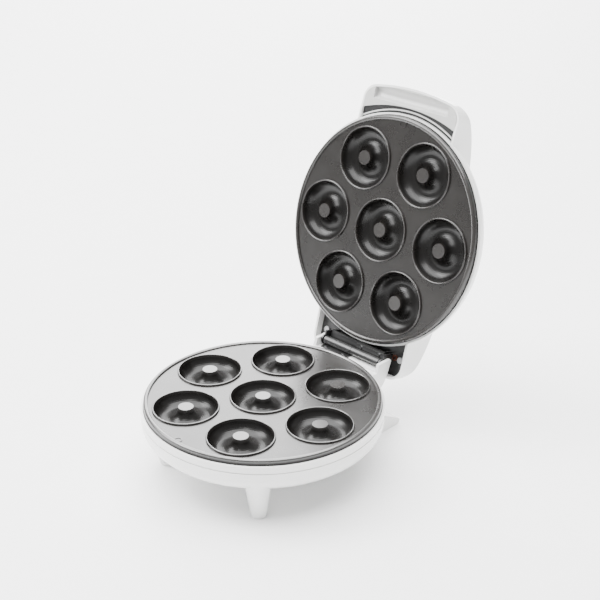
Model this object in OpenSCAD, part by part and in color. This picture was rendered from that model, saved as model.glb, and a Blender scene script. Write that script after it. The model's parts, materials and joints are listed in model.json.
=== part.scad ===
// Seven-ring donut maker, lid shown open on its stop.
// Frame: +Z up, front (handle side) towards -Y, hinge at +Y, origin on the table in the middle
// of the rear stand's front foot. Pieces are drawn round the lower plate's middle and moved by
// placed(). Lid pieces are drawn closed, then swung open by opened().

/* [Baking plates] */
// Radius of a cavity at its mouth
cavity_r = 26.8; // [22:0.2:33]
// Radius of the post that makes the hole in the donut
post_r = 6.4; // [4:0.2:9]
// Depth of a cavity below its collar
cavity_depth = 10.8; // [8:0.2:13.2]
// Flat plate between two neighbouring cavities
cavity_gap = 12.4; // [8:0.2:16]
// Plate from an outer cavity to the plate's edge
edge_margin = 7.7; // [6.4:0.1:12]
// Width of the raised collar round a cavity
collar_w = 1.4; // [1:0.1:2.2]
// Height of the collars, posts and rim over the flat plate
collar_h = 1.6; // [0.8:0.1:2.4]
// Thickness of the plate
plate_t = 2.2; // [1.6:0.1:3]
// Height of the plate's outer skirt
skirt_h = 7.6; // [6.6:0.1:9]
// Gap between the two plates when closed
mouth_gap = 0.6; // [0.4:0.1:1.5]

/* [Casing] */
// Clear height under the base casing
leg_h = 29.2; // [22:0.2:36]
// Underside of the base casing to the plane where the plates meet
base_h = 34.3; // [33:0.1:44]
// Plane where the plates meet to the top of the lid
lid_h = 40.5; // [38:0.5:50]
// How far each casing's lip stays back from that plane
lip_drop = 5.3; // [3.5:0.1:6]
// Wall of the white casings
shell_t = 2; // [1.6:0.1:2.4]
// Gap between a plate's skirt and the casing
plate_gap = 0.4; // [0.2:0.1:1]
// Straight height of the base's side wall
side_h = 12; // [9:0.5:14]
// Width of the base's rounded bottom edge
base_round_w = 23.5; // [18:0.5:30]
// Width of the lid's rounded shoulder
lid_round_w = 68; // [50:1:75]

/* [Handle and tail] */
// Width of the handle and of the tail
band_w = 106; // [96:1:128]
// How far the handle stands out in front of the casing
handle_reach = 22.3; // [18:0.1:27]
// How far the tail stands out behind the casing
tail_reach = 22.8; // [22:0.1:28]
// Corner radius of the handle and tail
band_corner_r = 14; // [8:0.5:18]

/* [Hinge] */
// Distance from the plate's edge to the hinge axis
hinge_back = 12; // [11.5:0.1:13]
// How far the hinge axis lies below the plane where the plates meet
hinge_drop = 1.2; // [0:0.1:2]
// Radius of the hinge barrel
barrel_r = 3.75; // [3.2:0.05:4.2]
// Radius of the hinge pin
pin_r = 1.6; // [1.2:0.05:2]
// Running clearance of the pin in the lid's knuckle
pin_clear = 0.05; // [0.03:0.01:0.1]
// Length of the hinge barrel
barrel_len = 64; // [50:1:64]
// Gap between the two knuckles
knuckle_gap = 0.4; // [0.2:0.1:1]
// Thickness of the hinge leaves
leaf_t = 1.5; // [1:0.1:2]
// Angle that the lid opens
open_angle = 106; // [100:1:106]

/* [Legs and stand] */
// Radius of a front leg at the table
leg_r = 6.8; // [5:0.1:9]
// Radius of a front leg where it leaves the casing
leg_top_r = 12; // [10:0.5:14]
// Width of the rear stand
stand_w = 91; // [80:1:100]
// Thickness of the rear stand
stand_t = 2.6; // [2:0.1:3.5]

/* [Hidden] */
$fn = 96;

// Plates
outer_cavities = 6;
pitch_r = 2 * cavity_r + cavity_gap;
plate_r = pitch_r + cavity_r + edge_margin;
groove_r = (cavity_r + post_r) / 2;
groove_half = (cavity_r - post_r) / 2;
bead_r = 2.1;
bead_at = plate_r - bead_r;
cup_wall = 2;
boss_at = plate_r - 14.5;
boss_r = 4.2;
boss_h = 9.6;
screw_r = 1.5;
mark_at = plate_r - 5.8;

// Heights
mate_z = leg_h + base_h;
plate_z = mate_z - mouth_gap / 2;
rim_z = mate_z - lip_drop;
lid_rim_z = mate_z + lip_drop;
lid_top_z = mate_z + lid_h;
band_rise = 1.2;
dome_top_z = lid_top_z - band_rise;

// Casing radii
well_r = plate_r + plate_gap;
casing_r = well_r + shell_t;
floor_t = 2.4;
bowl_start_z = rim_z - side_h;
seam_z = rim_z - 6.2;
seam_d = 0.7;

// Hinge
hinge_y = plate_r + hinge_back;
hinge_z = mate_z - hinge_drop;
flange_y = hinge_y - 7.3;
flange_z = hinge_z - barrel_r - leaf_t + 0.3;
block_w = barrel_len + 13;
cheek_t = 3;
cheek_top_z = hinge_z + 3.1;
arm_x = barrel_len / 2 + 1.4;
arm_t = 1.5;
hinge_screw_y = flange_y + 1.9;
hinge_screw_x = [6, barrel_len / 2 - 5];

// Heater
element_r = 3.2;
element_ring_r = pitch_r / 2;
element_z = plate_z - collar_h - plate_t - element_r;
cold_end_a = 14;
reflector_z = plate_z - cavity_depth - cup_wall - 1.2;
reflector_t = 0.8;
reflector_r = boss_at - boss_r - 4;

// Lid
band_y0 = 40;
bow_r = 219;
tail_y0 = 60;
band_z0 = mate_z - 3.5;
boss_end_z = plate_z - collar_h - plate_t - boss_h;
frame_z = 2 * mate_z - boss_end_z;
frame_t = 2;
ear_x = band_w / 2 - 9;
ear_y = casing_r + 4.6;
ear_w = 12;
ear_end = 4;
pan_t = 1.2;
pan_z = frame_z - pan_t;
lip_arc_r = 154;
strip_y = casing_r + 5.4;
under_z = lid_rim_z + 1.2;
eyelet_x = arm_x + arm_t + 3.3;
eyelet_r = 2.6;
floor_clear = 0.15;
pan_clear = 0.3;
dish_r = 6.5;
rib_t = 1.8;
lamp_x = 11;
lamp_y = -52;
lens_r = 3.6;

// Legs, stand and cord inlet
leg_foot_at = casing_r - 21;
leg_angles = [-47.3, -132.7];
stand_front_y = 56;
stand_foot_y = 66;
stand_foot_l = 8;
origin_y = stand_foot_y + stand_foot_l / 2;
stand_tail_y = casing_r + 24;
stand_tip_r = 3.4;
stand_screw_y = [63, 73];
stand_screw_x = 30;
pad_y = [stand_tail_y - 14, stand_tail_y - 7];
inlet_z = leg_h + 16;
inlet_a = 128;
inlet_r = 5;

function arc(cx, cy, rx, ry, a0, a1, n = 16) =
    [for (i = [0 : n]) let (a = a0 + (a1 - a0) * i / n) [cx + rx * cos(a), cy + ry * sin(a)]];

// Moves a piece from round the plate's middle into the part's frame
module placed() {
    translate([0, -origin_y, 0]) children();
}

// Swings a closed lid piece open round the hinge axis
module opened() {
    translate([0, hinge_y, hinge_z]) rotate([-open_angle, 0, 0])
        translate([0, -hinge_y, -hinge_z]) children();
}

// Turns a lower-plate piece over into its place in the closed lid
module flipped() {
    translate([0, 0, 2 * mate_z]) mirror([0, 0, 1]) children();
}

module at_cavities() {
    children();
    for (i = [0 : outer_cavities - 1]) rotate([0, 0, 60 * i]) translate([pitch_r, 0, 0]) children();
}

module at_bosses() {
    for (a = [30, 150, 270]) rotate([0, 0, a]) translate([boss_at, 0, 0]) children();
}

module along_x(length) {
    translate([-length / 2, 0, 0]) rotate([90, 0, 90]) linear_extrude(length) children();
}

// ---- Baking plate, drawn as the lower one ----

// Half section of one cavity with its post, collar and cup wall
module cavity_cup() {
    under_post = plate_z - collar_h - plate_t - 4;
    rotate_extrude() polygon(concat(
        [[0, under_post], [0, plate_z], [post_r, plate_z]],
        arc(groove_r, plate_z, groove_half, cavity_depth, 190, 350, 20),
        [[cavity_r, plate_z - 0.6]],
        arc(cavity_r + collar_w / 2, plate_z - collar_w / 2, collar_w / 2, collar_w / 2, 150, 0, 6),
        arc(groove_r, plate_z - collar_h, groove_half + collar_w,
            cavity_depth + cup_wall - collar_h, 0, -130, 16)));
}

module plate_rim() {
    rotate_extrude() polygon(concat(
        [[plate_r - bead_r - plate_t, plate_z - collar_h - plate_t],
         [plate_r - plate_t, plate_z - collar_h - plate_t - 2],
         [plate_r - plate_t, plate_z - skirt_h], [plate_r, plate_z - skirt_h]],
        arc(bead_at, plate_z - bead_r, bead_r, bead_r, 0, 150, 10)));
}

module plate_mark() {
    translate([0, -mark_at, plate_z - collar_h - 0.2]) difference() {
        cylinder(r = 3.5, h = 0.7);
        translate([0, 0, 0.3]) cylinder(r = 2.6, h = 1);
    }
}

module plate() {
    web_z = plate_z - collar_h - plate_t;
    difference() {
        union() {
            difference() {
                translate([0, 0, web_z]) cylinder(r = bead_at, h = plate_t);
                at_cavities() translate([0, 0, web_z - 1])
                    cylinder(r = cavity_r + collar_w / 2, h = plate_t + 2);
            }
            plate_rim();
            at_cavities() cavity_cup();
            at_bosses() translate([0, 0, web_z - boss_h]) cylinder(r = boss_r, h = boss_h + 0.5);
            plate_mark();
        }
        at_bosses() translate([0, 0, web_z - boss_h - 1]) cylinder(r = screw_r, h = boss_h);
    }
}

module lower_plate() { color("#2b2927") plate(); }

module upper_plate() { color("#2b2927") opened() flipped() plate(); }

// ---- Heater, shared by base and lid ----

module element() {
    translate([0, 0, element_z]) rotate([0, 0, 90 + cold_end_a]) rotate_extrude(angle = 360 - 2 * cold_end_a)
        translate([element_ring_r, 0]) circle(r = element_r, $fn = 32);
    for (s = [-1, 1]) rotate([0, 0, 90 + s * cold_end_a]) translate([element_ring_r, 0, element_z])
        rotate([0, 180, 0]) cylinder(r = element_r, h = element_z - reflector_z + 4, $fn = 32);
}

module clamps() {
    for (a = [150, 270, 30]) rotate([0, 0, a])
        translate([element_ring_r - 7, -3.5, element_z - element_r - 1.2]) cube([14, 7, 1.2]);
}

module reflector() {
    difference() {
        union() {
            translate([0, 0, reflector_z - reflector_t]) cylinder(r = reflector_r, h = reflector_t);
            translate([0, 0, reflector_z - 4]) difference() {
                cylinder(r = reflector_r, h = 4);
                translate([0, 0, -1]) cylinder(r = reflector_r - reflector_t, h = 7);
            }
        }
        for (s = [-1, 1]) rotate([0, 0, 90 + s * cold_end_a])
            translate([element_ring_r, 0, reflector_z - 3]) cylinder(r = element_r + 0.5, h = 6);
    }
}

module lower_element() { color("#8a8c8e") element(); }

module lower_clamps() { color("#b4b6b8") clamps(); }

module lower_reflector() { color("#c4c6c8") reflector(); }

module upper_element() { color("#8a8c8e") opened() flipped() element(); }

module upper_clamps() { color("#b4b6b8") opened() flipped() clamps(); }

module upper_reflector() { color("#c4c6c8") opened() flipped() reflector(); }

// ---- Base casing ----

module bowl(inset) {
    rotate_extrude() polygon(concat(
        [[0, leg_h + inset * floor_t / shell_t],
         [casing_r - base_round_w - 3, leg_h + inset * floor_t / shell_t]],
        arc(casing_r - base_round_w, bowl_start_z, base_round_w - inset,
            bowl_start_z - leg_h - inset * floor_t / shell_t, 280, 360, 12),
        [[casing_r - inset, rim_z + inset], [0, rim_z + inset]]));
}

module leg_solid() {
    lean = atan((casing_r - leg_top_r - leg_foot_at) / bowl_start_z);
    translate([leg_foot_at, 0, 0]) rotate([0, lean, 0]) rotate_extrude($fn = 48) polygon(concat(
        [[0, -1]], [[leg_r - 2.5, -1]],
        arc(leg_r - 2.5, 1.5, 2.5, 2.5, -90, 0, 5),
        [[leg_top_r, bowl_start_z - 1], [0, bowl_start_z - 1]]));
}

module legs() {
    difference() {
        for (a = leg_angles) rotate([0, 0, a]) leg_solid();
        translate([0, 0, -50]) cube([400, 400, 100], center = true);
    }
}

// Side outline of the hinge block's cheeks, as y and z
block_outline = [[casing_r - 12, leg_h + 8], [casing_r + 3, leg_h + 10], [hinge_y - 0.2, mate_z - 18],
    [hinge_y + 2.8, hinge_z - 12.5], [hinge_y + 8.4, cheek_top_z - 1.6], [hinge_y + 7, cheek_top_z],
    [casing_r + 2, cheek_top_z], [casing_r - 1, rim_z], [casing_r - 12, rim_z]];

module hinge_block() {
    difference() {
        along_x(block_w) polygon(block_outline);
        translate([-block_w / 2 + cheek_t, casing_r - 0.6, flange_z])
            cube([block_w - 2 * cheek_t, 40, 40]);
        translate([0, 0, mate_z - 40]) cylinder(r = well_r, h = 60);
        for (s = [-1], x = hinge_screw_x) translate([s * x, hinge_screw_y, flange_z - 3.6])
            cylinder(r = 1.2, h = 6, $fn = 24);
    }
}

module seam_groove() {
    translate([0, 0, seam_z - 0.5]) difference() {
        cylinder(r = casing_r + 1, h = 1);
        translate([0, 0, -1]) cylinder(r = casing_r - seam_d, h = 3);
        translate([-block_w / 2 + 1, casing_r - 30, -2]) cube([block_w - 2, 40, 5]);
    }
}

module at_inlet() {
    rotate([0, 0, inlet_a]) translate([casing_r - 6, 0, inlet_z]) rotate([0, 90, 0]) children();
}

module lower_housing() {
    color("#f2f2f0") difference() {
        union() {
            bowl(0);
            legs();
            hinge_block();
        }
        bowl(shell_t);
        translate([0, 0, rim_z - 2]) cylinder(r = well_r, h = 20);
        seam_groove();
        for (a = leg_angles) rotate([0, 0, a]) translate([leg_foot_at, 0, -1]) cylinder(r = 4, h = 2);
        at_bosses() translate([0, 0, leg_h - 1]) cylinder(r = screw_r + 1.4, h = 10);
        for (s = [-1, 1], y = stand_screw_y) translate([s * stand_screw_x, y, leg_h - 1])
            cylinder(r = 1.4, h = 10, $fn = 24);
        at_inlet() translate([0, 0, -5]) cylinder(r = inlet_r, h = 30);
        translate([-block_w / 2 + cheek_t, casing_r - 14, leg_h + 13])
            cube([block_w - 2 * cheek_t, 19, flange_z - leg_h - 16.5]);
    }
    color("#f2f2f0") difference() {
        at_bosses() translate([0, 0, leg_h + 0.5])
            cylinder(r = boss_r, h = boss_end_z - leg_h - 0.5);
        at_bosses() translate([0, 0, leg_h - 1]) cylinder(r = screw_r + 1.4, h = 10);
        at_bosses() translate([0, 0, leg_h - 1]) cylinder(r = screw_r, h = 60);
    }
}

// ---- Rear stand: a hollow heel under the back of the base ----

module stand_side(inset) {
    polygon(concat(
        [[stand_front_y + inset, leg_h - 3]], [[stand_foot_y + inset, inset]],
        [[stand_tail_y - stand_tip_r, inset]],
        arc(stand_tail_y - stand_tip_r, stand_tip_r, stand_tip_r - inset, stand_tip_r - inset, -75, 40, 6),
        [[84 - inset, leg_h - 0.9 - inset]], [[80 - inset, leg_h - inset]],
        [[stand_front_y + inset, leg_h - inset]]));
}

module rear_stand() {
    color("#f2f2f0") difference() {
        along_x(stand_w) stand_side(0);
        along_x(stand_w - 2 * stand_t) stand_side(stand_t);
        translate([-stand_w / 2 + stand_t, stand_foot_y + stand_foot_l, -1])
            cube([stand_w - 2 * stand_t, 32, stand_t + 2]);
        for (s = [-1, 1], y = stand_screw_y) translate([s * stand_screw_x, y, leg_h - 8])
            cylinder(r = 1.4, h = 10, $fn = 24);
        for (s = [-1, 1], y = pad_y) translate([s * (stand_w / 2 - 1.1), y, -1])
            cylinder(r = 0.9, h = 2, $fn = 24);
    }
}

module stand_screws() {
    color("#9a9c9e") for (s = [-1, 1], y = stand_screw_y)
        translate([s * stand_screw_x, y, 0]) union() {
            translate([0, 0, leg_h - stand_t - 1.6]) cylinder(r = 2.8, h = 1.6);
            translate([0, 0, leg_h - stand_t - 0.1]) cylinder(r = 1.4, h = stand_t + 4, $fn = 24);
        }
}

module foot_pads() {
    color("#3c3c3c") {
        for (a = leg_angles) rotate([0, 0, a]) translate([leg_foot_at, 0, 0]) cylinder(r = 4, h = 1);
        for (s = [-1, 1], y = pad_y) translate([s * (stand_w / 2 - 1.1), y, 0])
            cylinder(r = 0.9, h = 1, $fn = 24);
    }
}

// ---- Inside the base ----

module lower_plate_screws() {
    color("#9a9c9e") at_bosses() {
        translate([0, 0, leg_h + 9 - 1.6]) cylinder(r = screw_r + 1.2, h = 1.6);
        translate([0, 0, leg_h + 8.9]) cylinder(r = screw_r, h = boss_end_z - leg_h - 1);
    }
}

module thermostat() {
    color("#d8d4c8") translate([0, -40, leg_h + floor_t]) {
        translate([-9, -7, 0]) cube([18, 14, 6]);
        cylinder(r = 6, h = 9);
    }
}

module thermal_fuse() {
    color("#e4e0d4") translate([24, -34, leg_h + floor_t + 2]) rotate([0, 90, 0])
        cylinder(r = 2, h = 16, $fn = 32);
}

module terminal_block() {
    color("#e8e4da") translate([-14, 46, leg_h + floor_t]) difference() {
        cube([28, 12, 9]);
        for (x = [5, 14, 23]) translate([x, 6, 4]) cylinder(r = 2, h = 6, $fn = 32);
    }
}

module wire(y0, y1, x, z) {
    translate([x, y0, z]) rotate([-90, 0, 0]) cylinder(r = 1.2, h = y1 - y0, $fn = 24);
}

module base_wires() {
    color("#b8452f") {
        wire(-33, 46, -5, leg_h + floor_t + 2.5);
        wire(-33, 46, 5, leg_h + floor_t + 2.5);
    }
}

module cord_inlet() {
    color("#d6d6d4") at_inlet() difference() {
        union() {
            translate([0, 0, -3]) cylinder(r = inlet_r - 0.05, h = 10);
            translate([0, 0, 6.2]) cylinder(r = inlet_r + 1.6, h = 2);
        }
        translate([0, 0, -5]) cylinder(r = 3.4, h = 40);
    }
}

// ---- Hinge ----

module knuckle(x0, x1, bore) {
    translate([x0, hinge_y, hinge_z]) rotate([0, 90, 0]) difference() {
        cylinder(r = barrel_r, h = x1 - x0);
        translate([0, 0, -1]) cylinder(r = bore, h = x1 - x0 + 2);
    }
}

module hinge_lower_leaf() {
    color("#2a2b2d") {
        difference() {
            union() {
                knuckle(-barrel_len / 2, -knuckle_gap / 2, pin_r);
                translate([-barrel_len / 2, flange_y, flange_z])
                    cube([barrel_len / 2 - knuckle_gap / 2, hinge_y - flange_y, leaf_t]);
            }
            for (x = hinge_screw_x) translate([-x, hinge_screw_y, flange_z - 1])
                cylinder(r = 1.2, h = 5, $fn = 24);
            translate([-barrel_len, hinge_y, hinge_z]) rotate([0, 90, 0])
                cylinder(r = pin_r, h = 2 * barrel_len);
        }
    }
}

module hinge_screw() {
    cylinder(r = 1.2, h = 5.2, $fn = 24);
    translate([0, 0, 5.1]) cylinder(r1 = 1.9, r2 = 1.3, h = 0.9, $fn = 32);
}

module hinge_lower_screws() {
    color("#77787a") for (x = hinge_screw_x)
        translate([-x, hinge_screw_y, flange_z + leaf_t - 5.1]) hinge_screw();
}

module hinge_pin() {
    color("#3a3b3d") translate([0, hinge_y, hinge_z]) rotate([0, 90, 0]) union() {
        cylinder(r = pin_r, h = 2 * (arm_x + arm_t) + 0.5, center = true);
        for (s = [-1, 1]) translate([0, 0, s * (arm_x + arm_t + 0.25)])
            cylinder(r = 2.6, h = 0.4, center = true);
    }
}

module hinge_upper_leaf() {
    color("#2a2b2d") opened() difference() {
        union() {
            knuckle(knuckle_gap / 2, barrel_len / 2, pin_r + pin_clear);
            translate([knuckle_gap / 2, flange_y, 2 * hinge_z - flange_z - leaf_t])
                cube([barrel_len / 2 - knuckle_gap / 2, hinge_y - flange_y, leaf_t]);
        }
        for (x = hinge_screw_x) translate([x, hinge_screw_y, 2 * hinge_z - flange_z - 5])
            cylinder(r = 1.2, h = 9, $fn = 24);
        translate([-barrel_len, hinge_y, hinge_z]) rotate([0, 90, 0])
            cylinder(r = pin_r + pin_clear, h = 2 * barrel_len);
    }
}

module hinge_upper_screws() {
    color("#77787a") opened() for (x = hinge_screw_x)
        translate([x, hinge_screw_y, 2 * hinge_z - flange_z - leaf_t + 5.1]) mirror([0, 0, 1]) hinge_screw();
}

// ---- Lid ----

module dome(inset) {
    rotate_extrude() polygon(concat(
        [[0, lid_rim_z - inset]], [[casing_r - inset, lid_rim_z - inset]],
        arc(casing_r - lid_round_w, lid_rim_z, lid_round_w - inset,
            dome_top_z - lid_rim_z - inset, 2, 90, 20),
        [[0, dome_top_z - inset]]));
}

// Outline of the handle and tail seen from above
module band_plan(inset) {
    w = band_w / 2 - inset;
    front = casing_r + handle_reach - inset;
    back = casing_r + tail_reach - inset;
    c = band_corner_r - inset;
    bow = bow_r - inset;
    turn = asin((w - c) / (bow - c));
    corner_y = -front + bow - (bow - c) * cos(turn);
    polygon(concat(
        arc(w - c, corner_y, c, c, 0, turn - 90, 6),
        arc(0, -front + bow, bow, bow, turn - 92, -88 - turn, 6),
        arc(-w + c, corner_y, c, c, -90 - turn, -180, 6),
        arc(-w + c, back - c, c, c, 180, 90, 8),
        arc(w - c, back - c, c, c, 90, 0, 8)));
}

// Side outline of the handle, the lid's top and the tail, as y and z
module band_side(inset) {
    front = casing_r + handle_reach - inset;
    back = casing_r + tail_reach - inset;
    h = lid_top_z - band_z0;
    handle_w = (casing_r + handle_reach + 0.8 - band_y0) / cos(asin((under_z - band_z0) / h));
    tail_w = casing_r + tail_reach + 5.4 - tail_y0;
    polygon(concat(
        [[-front - 3, under_z - inset]],
        arc(-band_y0, band_z0, handle_w - inset, h - inset, 166, 90, 14),
        arc(tail_y0, band_z0, tail_w - inset, h - inset, 90, 23, 14),
        [[back + 3, lid_rim_z - inset]], [[-casing_r + 6, lid_rim_z - inset]],
        [[-casing_r - 4, under_z - inset]]));
}

module band(inset) {
    intersection() {
        linear_extrude(lid_top_z + 10) band_plan(inset);
        along_x(band_w + 10) band_side(inset);
    }
}

module lid_boss_at() {
    for (s = [-1, 1], t = [-1, 1]) translate([s * ear_x, t * ear_y, 0]) children();
}

module lid_solid(inset) {
    dome(inset);
    band(inset);
}

module lid_shell() {
    color("#f2f2f0") opened() difference() {
        lid_solid(0);
        difference() {
            lid_solid(shell_t);
            translate([0, 0, lid_rim_z - 1]) difference() {
                cylinder(r = casing_r - 0.15, h = frame_z - lid_rim_z + 1);
                translate([0, 0, -1]) cylinder(r = well_r + 0.15, h = 30);
            }
            translate([0, 0, frame_z + frame_t]) lid_boss_at() cylinder(r = 3.6, h = 40);
        }
        translate([0, 0, lid_rim_z - 10]) cylinder(r = well_r, h = 10 + skirt_h - lip_drop + 1);
        translate([0, 0, frame_z]) lid_boss_at() cylinder(r = 1.3, h = frame_t + 8);
        for (s = [-1, 1]) translate([s * lamp_x, lamp_y, lid_top_z - 10]) cylinder(r = lens_r, h = 20);
    }
}

module lid_frame() {
    color("#b9bbbd") opened() difference() {
        translate([0, 0, frame_z]) union() {
            cylinder(r = well_r - 5, h = frame_t);
            for (s = [-1, 1]) translate([s * ear_x - ear_w / 2, -ear_y - ear_end, 0])
                cube([ear_w, 2 * (ear_y + ear_end), frame_t]);
        }
        translate([0, 0, frame_z - 1]) cylinder(r = boss_at - 7, h = frame_t + 2);
        translate([-boss_at + 20, -60, frame_z - 1]) cube([2 * boss_at - 40, 120, frame_t + 2]);
        translate([0, 0, frame_z - 1]) lid_boss_at() cylinder(r = 1.3, h = 10);
        flipped() at_bosses() translate([0, 0, mate_z - 40]) cylinder(r = screw_r, h = 60);
    }
}

module frame_screws() {
    color("#9a9c9e") opened() lid_boss_at() {
        translate([0, 0, frame_z - 0.1]) cylinder(r = 1.3, h = frame_t + 7);
    }
    color("#9a9c9e") opened() for (s = [-1, 1]) {
        translate([s * ear_x, -ear_y, frame_z - 1.4]) cylinder(r = 2.8, h = 1.4);
        translate([s * ear_x, ear_y, pan_z - 1.4]) cylinder(r = 2.8, h = 1.4);
        translate([s * ear_x, ear_y, pan_z - 0.1]) cylinder(r = 1.3, h = pan_t + 0.2);
    }
}

module upper_plate_screws() {
    color("#9a9c9e") opened() flipped() at_bosses() {
        translate([0, 0, boss_end_z - frame_t - 1.6]) cylinder(r = 2.8, h = 1.6);
        translate([0, 0, boss_end_z - frame_t - 0.1]) cylinder(r = screw_r, h = frame_t + 8);
    }
}

// Outline between the lid's round wall and the handle's front, set in by a clearance
module handle_floor_plan(inset) {
    intersection() {
        band_plan(shell_t + inset);
        translate([-100, -200]) square([200, 130]);
    }
}

module arc_gap_plan(r_in, r_arc, y_arc) {
    difference() {
        translate([0, y_arc + r_arc]) circle(r = r_arc);
        circle(r = r_in);
        translate([-200, -60]) square([400, 400]);
    }
}

module handle_underside() {
    floor_z = under_z - 0.6;
    rib_z = frame_z - 2.6;
    color("#e4e4e2") opened() {
        difference() {
            intersection() {
                translate([0, 0, floor_z]) linear_extrude(frame_z - 1.8 - floor_z) difference() {
                    handle_floor_plan(floor_clear);
                    translate([0, -strip_y + lip_arc_r]) circle(r = lip_arc_r, $fn = 360);
                }
                along_x(band_w + 10) band_side(shell_t + floor_clear);
            }
            translate([0, -strip_y - 7.5, under_z - 2.6]) rotate([0, 90, 0])
                cylinder(r = dish_r, h = band_w - 24, center = true);
        }
        for (s = [-1, 1]) translate([s * (ear_x - 4.5) - rib_t / 2, -ear_y - 4.5, rib_z])
            cube([rib_t, 5, frame_z - rib_z]);
    }
}

module handle_strip() {
    color("#5c5c5c") opened() translate([0, 0, under_z + 1.4]) difference() {
        linear_extrude(3) intersection() {
            handle_floor_plan(floor_clear);
            arc_gap_plan(casing_r + 0.2, lip_arc_r, -strip_y);
        }
        for (k = [1, 2]) translate([0, 0, -1]) linear_extrude(1.8) difference() {
            circle(r = casing_r + 1.9 * k);
            circle(r = casing_r + 1.9 * k - 0.8);
        }
    }
}

module hinge_bracket() {
    bridge_z = 2 * hinge_z - flange_z;
    color("#1f2022") opened() difference() {
        union() {
            intersection() {
                translate([0, 0, pan_z]) linear_extrude(pan_t) difference() {
                    intersection() {
                        band_plan(shell_t + pan_clear);
                        translate([-100, 60]) square([200, 130]);
                    }
                    circle(r = casing_r + pan_clear);
                }
                along_x(band_w + 10) band_side(shell_t + pan_clear);
            }
            difference() {
                translate([-barrel_len / 2 + 0.5, casing_r + 0.6, bridge_z])
                    cube([barrel_len - 1, hinge_y - casing_r - 1.6, pan_z - bridge_z + 0.1]);
                translate([-barrel_len / 2 + 2, casing_r - 1, bridge_z + 2.6])
                    cube([barrel_len - 4, hinge_y - casing_r - 1, pan_z - bridge_z - 2.6]);
            }
            for (s = [-1, 1]) translate([s * (arm_x + arm_t / 2), 0, 0]) difference() {
                along_x(arm_t) union() {
                    translate([hinge_y, hinge_z]) circle(r = 4.2, $fn = 48);
                    translate([hinge_y - 8, hinge_z]) square([10, pan_z - hinge_z + 0.1]);
                }
                translate([-5, hinge_y, hinge_z]) rotate([0, 90, 0]) cylinder(r = pin_r + pin_clear, h = 10);
            }
        }
        for (x = hinge_screw_x) translate([x, hinge_screw_y, bridge_z - 1])
            cylinder(r = 1.2, h = 5, $fn = 24);
        for (s = [-1, 1]) translate([s * ear_x, ear_y, pan_z - 1]) cylinder(r = 1.3, h = 5);
    }
}

module wire_eyelet() {
    color("#8c4a34") opened() translate([eyelet_x, casing_r + 4, pan_z]) mirror([0, 0, 1]) difference() {
        cylinder(r = eyelet_r, h = 1.6);
        translate([0, 0, -1]) cylinder(r = eyelet_r - 1, h = 4);
    }
}

module lens(x) {
    opened() translate([x, lamp_y, lid_top_z - shell_t - 1]) {
        cylinder(r = lens_r, h = shell_t + 1.4);
        translate([0, 0, -0.8]) cylinder(r = lens_r + 1.2, h = 0.81);
    }
}

module power_lens() { color("#c2281c") lens(-lamp_x); }

module ready_lens() { color("#2f9a44") lens(lamp_x); }

module lamp_carrier() {
    color("#e8e4da") opened() translate([-22, lamp_y - 8, lid_top_z - shell_t - 14]) difference() {
        cube([44, 16, 2]);
        for (s = [-1, 1]) translate([22 + s * lamp_x, 8, -1]) cylinder(r = 2.6, h = 4);
    }
}

module lamps() {
    color("#e6b98a") opened() for (s = [-1, 1])
        translate([s * lamp_x, lamp_y, lid_top_z - shell_t - 15]) cylinder(r = 2.6, h = 12, $fn = 32);
}

module lid_wires() {
    color("#b8452f") opened() for (s = [-1, 1]) wire(lamp_y + 8, 60, s * 8, lid_top_z - shell_t - 13);
}

placed() lower_housing();
placed() rear_stand();
placed() stand_screws();
placed() foot_pads();
placed() lower_plate();
placed() lower_element();
placed() lower_clamps();
placed() lower_reflector();
placed() lower_plate_screws();
placed() thermostat();
placed() thermal_fuse();
placed() terminal_block();
placed() base_wires();
placed() cord_inlet();
placed() hinge_lower_leaf();
placed() hinge_lower_screws();
placed() hinge_pin();
placed() lid_shell();
placed() lid_frame();
placed() frame_screws();
placed() handle_underside();
placed() handle_strip();
placed() upper_plate();
placed() upper_element();
placed() upper_clamps();
placed() upper_reflector();
placed() upper_plate_screws();
placed() hinge_bracket();
placed() hinge_upper_leaf();
placed() hinge_upper_screws();
placed() wire_eyelet();
placed() power_lens();
placed() ready_lens();
placed() lamps();
placed() lamp_carrier();
placed() lid_wires();
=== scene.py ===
"""Looks of the seven-ring donut maker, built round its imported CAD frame."""

import json
import math

import bpy
from mathutils import Matrix, Vector

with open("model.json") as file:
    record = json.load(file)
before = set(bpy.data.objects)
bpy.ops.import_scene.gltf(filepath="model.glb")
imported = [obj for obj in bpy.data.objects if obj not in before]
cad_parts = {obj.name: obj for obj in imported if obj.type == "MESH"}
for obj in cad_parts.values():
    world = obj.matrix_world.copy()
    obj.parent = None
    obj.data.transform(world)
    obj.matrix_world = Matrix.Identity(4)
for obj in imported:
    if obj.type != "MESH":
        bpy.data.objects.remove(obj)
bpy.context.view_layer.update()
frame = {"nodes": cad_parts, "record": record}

MM = 0.001

# The frame's origin lies this far behind the middle of the lower plate
ORIGIN_Y = 70 * MM


# ---- Node helpers ----

def new_material(name):
    """An empty node material, its shader, and Object coordinates to hang textures on."""
    material = bpy.data.materials.new(name)
    material.use_nodes = True
    tree = material.node_tree
    shader = tree.nodes["Principled BSDF"]
    coords = tree.nodes.new("ShaderNodeTexCoord")
    return material, tree, shader, coords.outputs["Object"]


def noise(tree, coords, scale, detail, stretch=(1, 1, 1)):
    """A noise texture's value, with the given number of features per metre."""
    mapping = tree.nodes.new("ShaderNodeMapping")
    mapping.inputs["Scale"].default_value = stretch
    texture = tree.nodes.new("ShaderNodeTexNoise")
    texture.inputs["Scale"].default_value = scale
    texture.inputs["Detail"].default_value = detail
    tree.links.new(coords, mapping.inputs["Vector"])
    tree.links.new(mapping.outputs["Vector"], texture.inputs["Vector"])
    return texture.outputs["Fac"]


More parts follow.
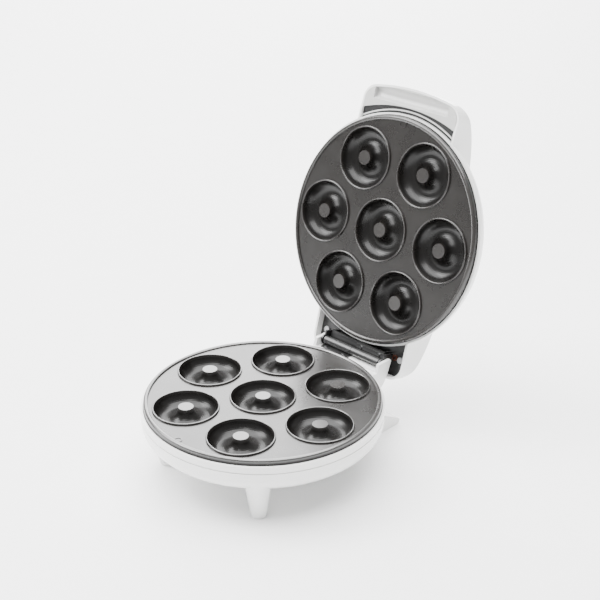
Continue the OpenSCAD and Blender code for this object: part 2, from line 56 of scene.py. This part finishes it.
def remap(tree, value, low, high, to_low, to_high):
    """value between low and high becomes to_low to to_high."""
    node = tree.nodes.new("ShaderNodeMapRange")
    node.inputs["From Min"].default_value = low
    node.inputs["From Max"].default_value = high
    node.inputs["To Min"].default_value = to_low
    node.inputs["To Max"].default_value = to_high
    tree.links.new(value, node.inputs["Value"])
    return node.outputs["Result"]


def tint(tree, factor, first, second):
    """A colour between two, by a factor."""
    node = tree.nodes.new("ShaderNodeMix")
    node.data_type = "RGBA"
    node.inputs["A"].default_value = (*first, 1)
    node.inputs["B"].default_value = (*second, 1)
    tree.links.new(factor, node.inputs["Factor"])
    return node.outputs["Result"]


def bump(tree, shader, height, depth):
    """Relief of the given depth in metres."""
    node = tree.nodes.new("ShaderNodeBump")
    node.inputs["Distance"].default_value = depth
    node.inputs["Strength"].default_value = 1.0
    tree.links.new(height, node.inputs["Height"])
    tree.links.new(node.outputs["Normal"], shader.inputs["Normal"])


# ---- Materials ----

def surface(name, base, other, rough, grain, depth, metallic=0.0, coat=0.0, coat_rough=0.06,
            ior=1.5, wear=0.04, stretch=(1, 1, 1)):
    """A material whose colour, roughness and relief vary: blotches, fine grain, rubbed patches."""
    material, tree, shader, coords = new_material(name)
    blotches = noise(tree, coords, 28, 3.0)
    fine = noise(tree, coords, grain, 6.0, stretch)
    blend = remap(tree, blotches, 0.35, 0.65, 0, 1)
    tree.links.new(tint(tree, blend, base, other), shader.inputs["Base Color"])
    rubbed = remap(tree, noise(tree, coords, 75, 5.0), 0.4, 0.7, rough, rough + wear)
    tree.links.new(rubbed, shader.inputs["Roughness"])
    bump(tree, shader, fine, depth)
    shader.inputs["Metallic"].default_value = metallic
    shader.inputs["Coat Weight"].default_value = coat
    shader.inputs["Coat Roughness"].default_value = coat_rough
    shader.inputs["IOR"].default_value = ior
    return material


def clear_lens(name, colour):
    """Tinted see-through plastic with faint moulding flow."""
    material, tree, shader, coords = new_material(name)
    flow = noise(tree, coords, 260, 2.0)
    tree.links.new(tint(tree, flow, colour, tuple(c * 0.7 for c in colour)), shader.inputs["Base Color"])
    tree.links.new(remap(tree, flow, 0.3, 0.7, 0.06, 0.14), shader.inputs["Roughness"])
    shader.inputs["Transmission Weight"].default_value = 0.7
    shader.inputs["IOR"].default_value = 1.49
    bump(tree, shader, flow, 0.00003)
    return material


# How far below the web the painted shade in a cavity starts, and where it is fully dark
RIM_DEPTH = 0.4 * MM
FULLY_SUNK = 3.5 * MM


def plate_coating(name, normal, web_level, gloss):
    """Dark nonstick coating: glossy on the flat web, duller down in the cavities, whose colour is darkened
    with painted shade.

    The two plates' gloss differs, and the cavities are darkened, to match the photo's light. One real
    coating would be the same everywhere.
    """
    material, tree, shader, coords = new_material(name)
    along = tree.nodes.new("ShaderNodeVectorMath")
    along.operation = "DOT_PRODUCT"
    along.inputs[1].default_value = normal
    tree.links.new(coords, along.inputs[0])
    sunk = remap(tree, along.outputs["Value"], web_level - FULLY_SUNK, web_level - RIM_DEPTH, 1, 0)
    blotches = remap(tree, noise(tree, coords, 28, 3.0), 0.35, 0.65, 0, 1)
    web = tint(tree, blotches, (0.016, 0.014, 0.0125), (0.011, 0.0095, 0.0085))
    # Painted shade: the cavity colour is darker than the web's, for the shade down in the recesses
    painted_cavity_shade = tint(tree, blotches, (0.0055, 0.005, 0.0045), (0.004, 0.0036, 0.0033))
    mix = tree.nodes.new("ShaderNodeMix")
    mix.data_type = "RGBA"
    tree.links.new(sunk, mix.inputs["Factor"])
    tree.links.new(web, mix.inputs["A"])
    tree.links.new(painted_cavity_shade, mix.inputs["B"])
    tree.links.new(mix.outputs["Result"], shader.inputs["Base Color"])
    rubbed = remap(tree, noise(tree, coords, 75, 5.0), 0.4, 0.7, 0.27, 0.33)
    tree.links.new(rubbed, shader.inputs["Roughness"])
    tree.links.new(remap(tree, sunk, 0, 1, gloss, 1.32), shader.inputs["IOR"])
    tree.links.new(remap(tree, sunk, 0, 1, 0.5, 0.14), shader.inputs["Coat Weight"])
    shader.inputs["Coat Roughness"].default_value = 0.20
    bump(tree, shader, noise(tree, coords, 2200, 6.0), 0.00001)
    return material


# The hinge axis in the frame, how far the lid stands open, and each plate's web level
HINGE_REACH = 112.5 * MM
HINGE_Y = HINGE_REACH - ORIGIN_Y
HINGE_Z = 62.3 * MM
LID_OPEN = math.radians(106)
LOWER_WEB = 63.2 * MM
UPPER_WEB = 63.8 * MM
UPPER_NORMAL = (0, -math.sin(LID_OPEN), -math.cos(LID_OPEN))
LID_MIDDLE = (0, HINGE_Y - HINGE_REACH * math.cos(LID_OPEN), HINGE_Z + HINGE_REACH * math.sin(LID_OPEN))
STRIP_RIB = 104.3 * MM
UPPER_LEVEL = Vector(UPPER_NORMAL).dot(Vector((0, HINGE_Y, HINGE_Z))) - (UPPER_WEB - HINGE_Z)


# The pale rib's width, its pale colour a painted highlight, and the blend at each of its edges
RIB_WIDTH = 1.9 * MM
RIB_EDGE = 0.5 * MM


def ribbed_trim(name, middle, along, radius):
    """Grey trim painted near black with the shade of its groove, with one pale rib, a painted highlight,
    that runs round the lid's middle.
    """
    material, tree, shader, coords = new_material(name)
    offset = tree.nodes.new("ShaderNodeVectorMath")
    offset.operation = "SUBTRACT"
    offset.inputs[1].default_value = middle
    tree.links.new(coords, offset.inputs[0])
    cross = tree.nodes.new("ShaderNodeVectorMath")
    cross.operation = "CROSS_PRODUCT"
    cross.inputs[1].default_value = along
    tree.links.new(offset.outputs["Vector"], cross.inputs[0])
    reach = tree.nodes.new("ShaderNodeVectorMath")
    reach.operation = "LENGTH"
    tree.links.new(cross.outputs["Vector"], reach.inputs[0])
    far_side = radius + RIB_WIDTH
    inner = remap(tree, reach.outputs["Value"], radius, radius + RIB_EDGE, 0, 1)
    outer = remap(tree, reach.outputs["Value"], far_side - RIB_EDGE, far_side, 1, 0)
    rib = tree.nodes.new("ShaderNodeMath")
    rib.operation = "MINIMUM"
    tree.links.new(inner, rib.inputs[0])
    tree.links.new(outer, rib.inputs[1])
    # Painted shade: the near-black trim colour; painted highlight: the pale rib colour where the ridge
    # catches light
    tree.links.new(tint(tree, rib.outputs["Value"], (0.018, 0.018, 0.018), (0.62, 0.62, 0.61)),
                   shader.inputs["Base Color"])
    rubbed = remap(tree, noise(tree, coords, 75, 5.0), 0.4, 0.7, 0.36, 0.44)
    tree.links.new(rubbed, shader.inputs["Roughness"])
    bump(tree, shader, rib.outputs["Value"], 0.0002)
    return material


MATERIALS = {
    "white_casing": surface("white_casing", (0.83, 0.83, 0.82), (0.80, 0.80, 0.79), 0.16, 900, 0.000008,
                            coat=0.35),
    # Handle underside: white plastic given a mid grey colour, painted shade for the shade under the handle
    "handle_white": surface("handle_white", (0.50, 0.50, 0.49), (0.47, 0.47, 0.46), 0.24, 900, 0.000012,
                            coat=0.2),
    # Dark rubber; the two small pads at the rear foot's heel are dark pieces put where shadow spots are,
    # painted shade
    "pad_rubber": surface("pad_rubber", (0.022, 0.022, 0.022), (0.03, 0.03, 0.03), 0.62, 1200, 0.00003),
    "heater_tube": surface("heater_tube", (0.20, 0.20, 0.21), (0.14, 0.13, 0.13), 0.42, 1400, 0.00001,
                           metallic=1),
    "plain_steel": surface("plain_steel", (0.50, 0.50, 0.51), (0.42, 0.42, 0.43), 0.30, 1400, 0.00001,
                           metallic=1),
    "reflector": surface("reflector", (0.72, 0.72, 0.73), (0.64, 0.64, 0.65), 0.24, 1100, 0.00001,
                         metallic=1),
    "hinge_screw": surface("hinge_screw", (0.16, 0.16, 0.165), (0.10, 0.10, 0.10), 0.30, 1400, 0.00001,
                           metallic=1),
    "hinge_black": surface("hinge_black", (0.012, 0.012, 0.012), (0.020, 0.020, 0.020), 0.30, 1600, 0.00002,
                           coat=0.25, wear=0.12),
    "hinge_pin": surface("hinge_pin", (0.06, 0.06, 0.062), (0.10, 0.10, 0.10), 0.32, 1600, 0.00001,
                         metallic=1),
    "ceramic": surface("ceramic", (0.68, 0.64, 0.56), (0.60, 0.56, 0.49), 0.40, 800, 0.00002),
    "wire_sleeve": surface("wire_sleeve", (0.30, 0.06, 0.03), (0.20, 0.04, 0.02), 0.75, 2600, 0.00008,
                           stretch=(1, 4, 1)),
    "copper_ring": surface("copper_ring", (0.13, 0.05, 0.032), (0.08, 0.035, 0.025), 0.38, 1400, 0.00002,
                           metallic=0.7),
    "grommet": surface("grommet", (0.52, 0.52, 0.51), (0.46, 0.46, 0.45), 0.55, 1100, 0.00002),
    "red_lens": clear_lens("red_lens", (0.50, 0.02, 0.015)),
    "green_lens": clear_lens("green_lens", (0.02, 0.36, 0.07)),
    "lamp_glass": clear_lens("lamp_glass", (0.80, 0.55, 0.38)),
}


def dress_nodes():
    """Every CAD node takes the material of its slot in the record, and each plate its own coating."""
    coated = {"lower_plate": plate_coating("nonstick_lower", (0, 0, 1), LOWER_WEB, 2.05),
              "upper_plate": plate_coating("nonstick_upper", UPPER_NORMAL, UPPER_LEVEL, 1.55),
              "handle_strip": ribbed_trim("grey_trim", LID_MIDDLE, UPPER_NORMAL, STRIP_RIB)}
    for part in frame["record"]["subparts"]:
        piece = frame["nodes"][part["node"]]
        piece.data.materials.clear()
        piece.data.materials.append(coated.get(part["node"]) or MATERIALS[part["material_slot"]])


EDGE_ROUNDING = 0.5 * MM


def soften(node, width):
    """Rounds a CAD node's sharp edges with modifiers; its own mesh stays as it was."""
    piece = frame["nodes"][node]
    weld = piece.modifiers.new("weld", "WELD")
    weld.merge_threshold = 1e-6
    bevel = piece.modifiers.new("soft_edges", "BEVEL")
    bevel.width = width
    bevel.segments = 3
    bevel.limit_method = "ANGLE"
    bevel.angle_limit = math.radians(38)
    bevel.use_clamp_overlap = True
    bevel.harden_normals = False
    normals = piece.modifiers.new("weighted", "WEIGHTED_NORMAL")
    normals.keep_sharp = True


# ---- Studio ----

WORLD_STRENGTH = 0.75
LIT_POINT = Vector((0, 0, 0.1))


def studio():
    """A pale floor, a white surround and soft lights."""
    floor_material = surface("floor", (0.93, 0.93, 0.93), (0.92, 0.92, 0.92), 0.65, 300, 0.00001)
    bpy.ops.mesh.primitive_plane_add(size=14, location=(0, 0, 0))
    floor = bpy.context.object
    floor.name = "floor"
    floor.data.materials.append(floor_material)
    world = bpy.data.worlds.new("studio")
    world.use_nodes = True
    world.node_tree.nodes["Background"].inputs["Color"].default_value = (1, 1, 1, 1)
    world.node_tree.nodes["Background"].inputs["Strength"].default_value = WORLD_STRENGTH
    bpy.context.scene.world = world
    soft_light("overhead", (-0.3, 0.1, 2.4), 3.2, 330)
    soft_light("key", (-1.3, -0.9, 1.5), 1.0, 45)
    soft_light("behind", (-1.55, 1.6, 0.95), 1.9, 95)


def soft_light(name, place, size, power):
    """A square soft light aimed at the object's middle."""
    lamp = bpy.data.lights.new(name, "AREA")
    lamp.size = size
    lamp.energy = power
    holder = bpy.data.objects.new(name, lamp)
    bpy.context.scene.collection.objects.link(holder)
    holder.location = Vector(place) - Vector((0, ORIGIN_Y, 0))
    aim = LIT_POINT - Vector(place)
    holder.rotation_mode = "QUATERNION"
    holder.rotation_quaternion = aim.to_track_quat("-Z", "Y")


# The photo's camera: its bearing and height round the object, and what it aims at
CAMERA_AZIMUTH = math.radians(44.03)
CAMERA_ELEVATION = math.radians(25.93)
CAMERA_DISTANCE = 1101 * MM
AIM_RIGHT = 31.22 * MM
AIM_UP = 79.95 * MM
MATING_PLANE = 63.5 * MM
LENS_MM = 78.5


def camera():
    """The photo's view."""
    cos_az, sin_az = math.cos(CAMERA_AZIMUTH), math.sin(CAMERA_AZIMUTH)
    cos_el, sin_el = math.cos(CAMERA_ELEVATION), math.sin(CAMERA_ELEVATION)
    right = Vector((cos_az, sin_az, 0))
    back = Vector((sin_az * cos_el, -cos_az * cos_el, sin_el))
    up = back.cross(right)
    target = right * AIM_RIGHT + up * AIM_UP + Vector((0, -ORIGIN_Y, MATING_PLANE))
    data = bpy.data.cameras.new("camera")
    data.lens = LENS_MM
    data.sensor_width = 36
    data.clip_start = 0.05
    data.clip_end = 50
    holder = bpy.data.objects.new("camera", data)
    bpy.context.scene.collection.objects.link(holder)
    turn = Matrix((right, up, back)).transposed().to_4x4()
    holder.matrix_world = Matrix.Translation(target + back * CAMERA_DISTANCE) @ turn
    bpy.context.scene.camera = holder


dress_nodes()
for moulding in ("handle_underside", "rear_stand"):
    soften(moulding, EDGE_ROUNDING)
studio()
camera()
